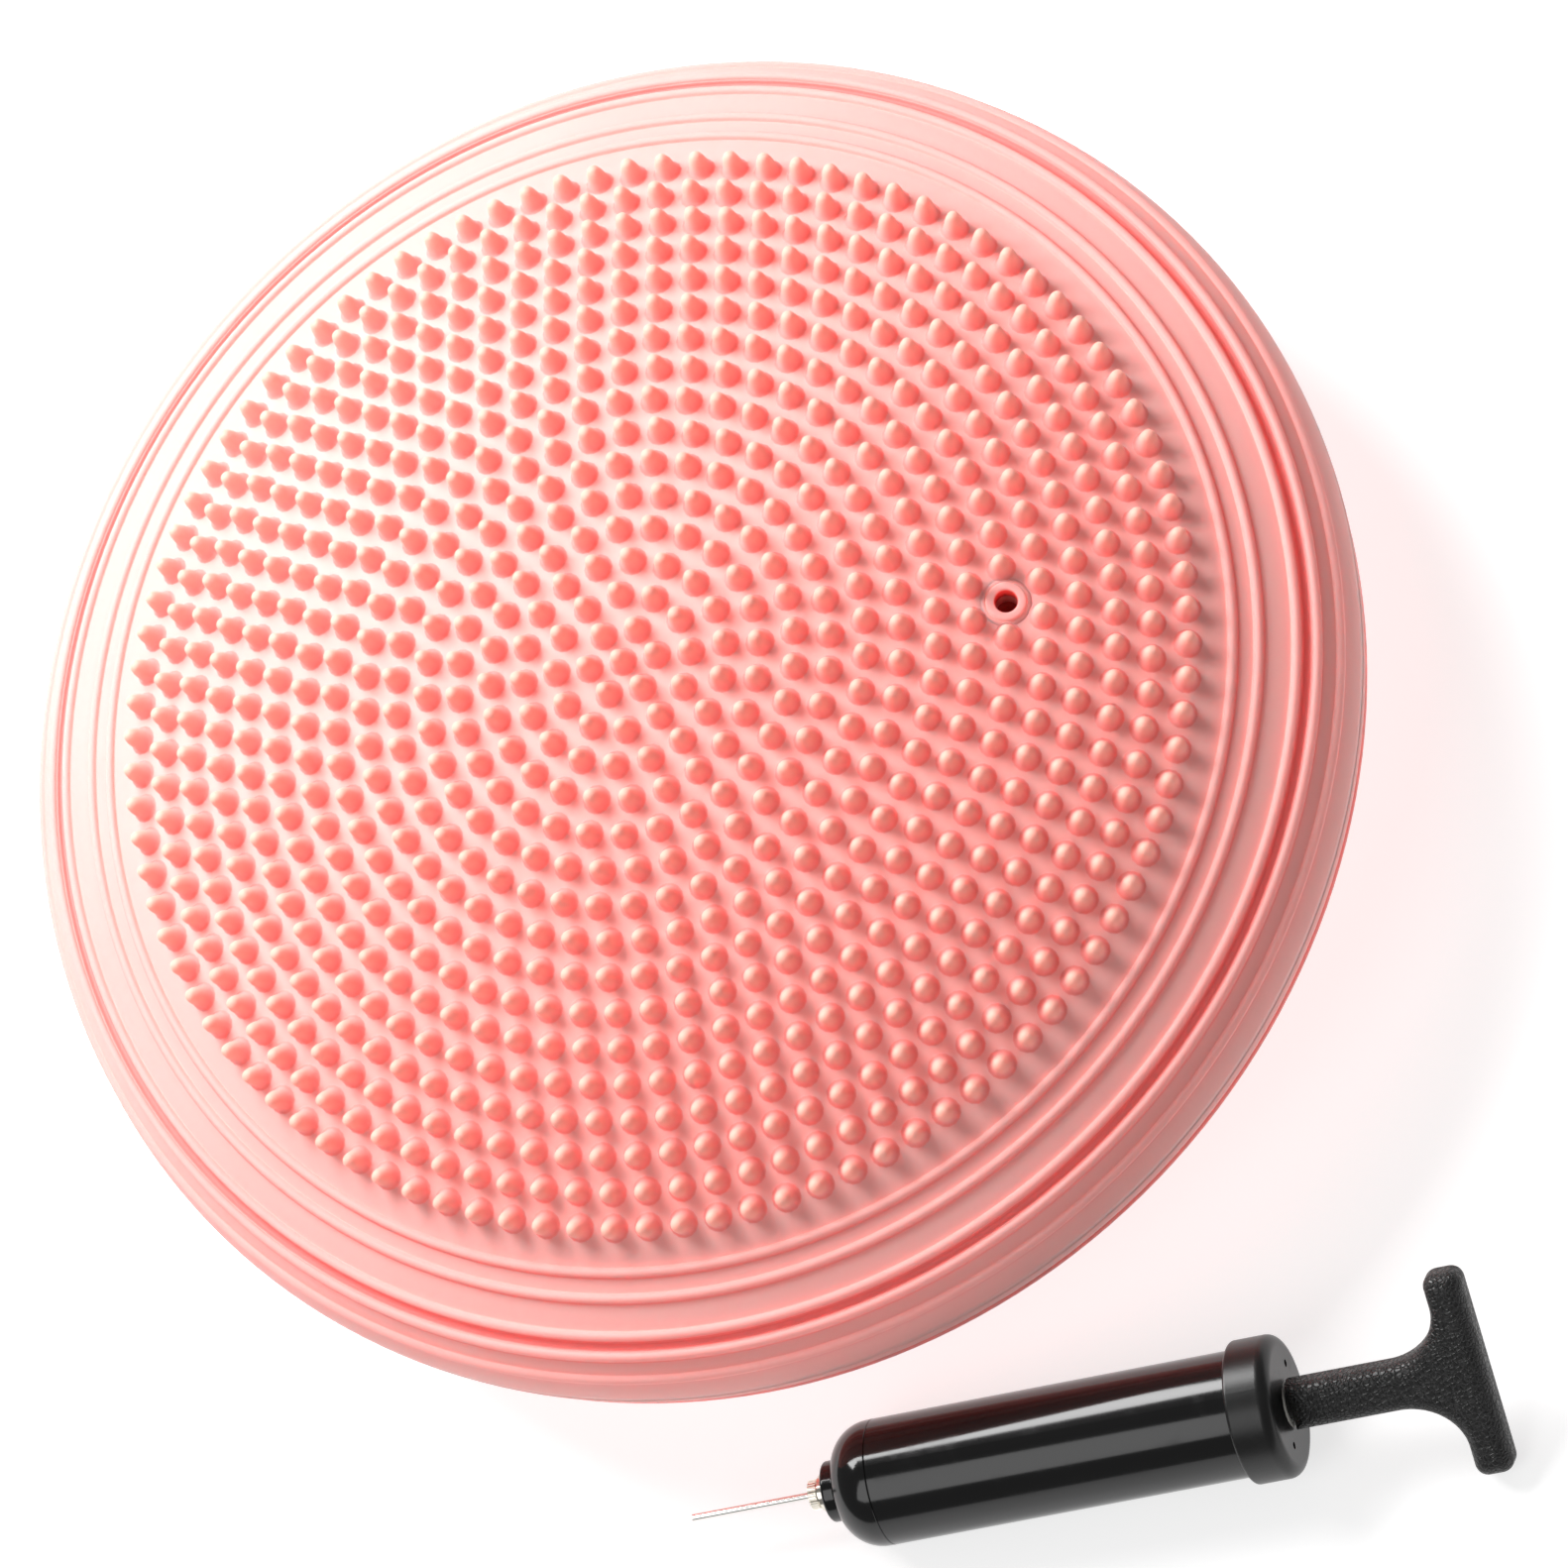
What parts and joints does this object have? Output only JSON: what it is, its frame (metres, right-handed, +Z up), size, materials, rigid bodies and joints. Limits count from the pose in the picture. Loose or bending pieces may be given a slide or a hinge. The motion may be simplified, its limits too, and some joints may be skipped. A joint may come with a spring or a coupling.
{
  "type": "balance cushion with hand pump",
  "caption": "Round inflatable balance cushion with a studded dome and a needle valve, and a small T-handled ball pump with a screw-in needle lying beside it.",
  "frame": {"origin": "centre of the flat patch the cushion lies on, at floor level", "axes": "+Z up through the cushion's crown, +X along the pump from needle to handle and under the cushion's valve, +Y from the pump towards the cushion's far side"},
  "size_m": [0.3338, 0.3702, 0.1008],
  "materials": {
    "shell_pink": "soft satin vinyl",
    "valve_rubber": "matte rubber",
    "gloss_black": "polished",
    "satin_black": "satin",
    "grained_black": "leather grain",
    "white_plastic": "satin",
    "seal_rubber": "matte rubber",
    "insert_brass": "turned",
    "screw_steel": "zinc plated",
    "needle_steel": "drawn and polished",
    "nickel": "nickel plated"
  },
  "bodies": {
    "cushion": {"upper_shell": "shell_pink", "lower_shell": "shell_pink", "valve_housing": "shell_pink", "valve_core": "valve_rubber"},
    "pump": {"pump_barrel": "gloss_black", "front_cap": "gloss_black", "thread_insert": "insert_brass", "barrel_seal": "seal_rubber", "outlet_plate": "white_plastic", "outlet_flap": "seal_rubber", "rear_cap": "satin_black", "rod_bushing": "white_plastic", "stop_washer": "seal_rubber"},
    "plunger": {"piston_rod": "satin_black", "piston": "white_plastic", "piston_cup": "seal_rubber", "piston_screw": "screw_steel", "handle": "grained_black"},
    "needle": {"needle_collar": "nickel", "needle_washer": "seal_rubber", "needle_tube": "needle_steel"}
  },
  "joints": [
    {"name": "pump_lift", "type": "slide", "parent": "cushion", "child": "pump", "axis": [0, 0, 1], "range_m": [0, 0.15]},
    {"name": "plunger_slide", "type": "slide", "parent": "pump", "child": "plunger", "axis": [0.9998, 0, 0.0219], "range_m": [0, 0.062]},
    {"name": "needle_unscrew", "type": "slide", "parent": "pump", "child": "needle", "axis": [-0.9998, 0, -0.0219], "range_m": [0, 0.03]}
  ]
}
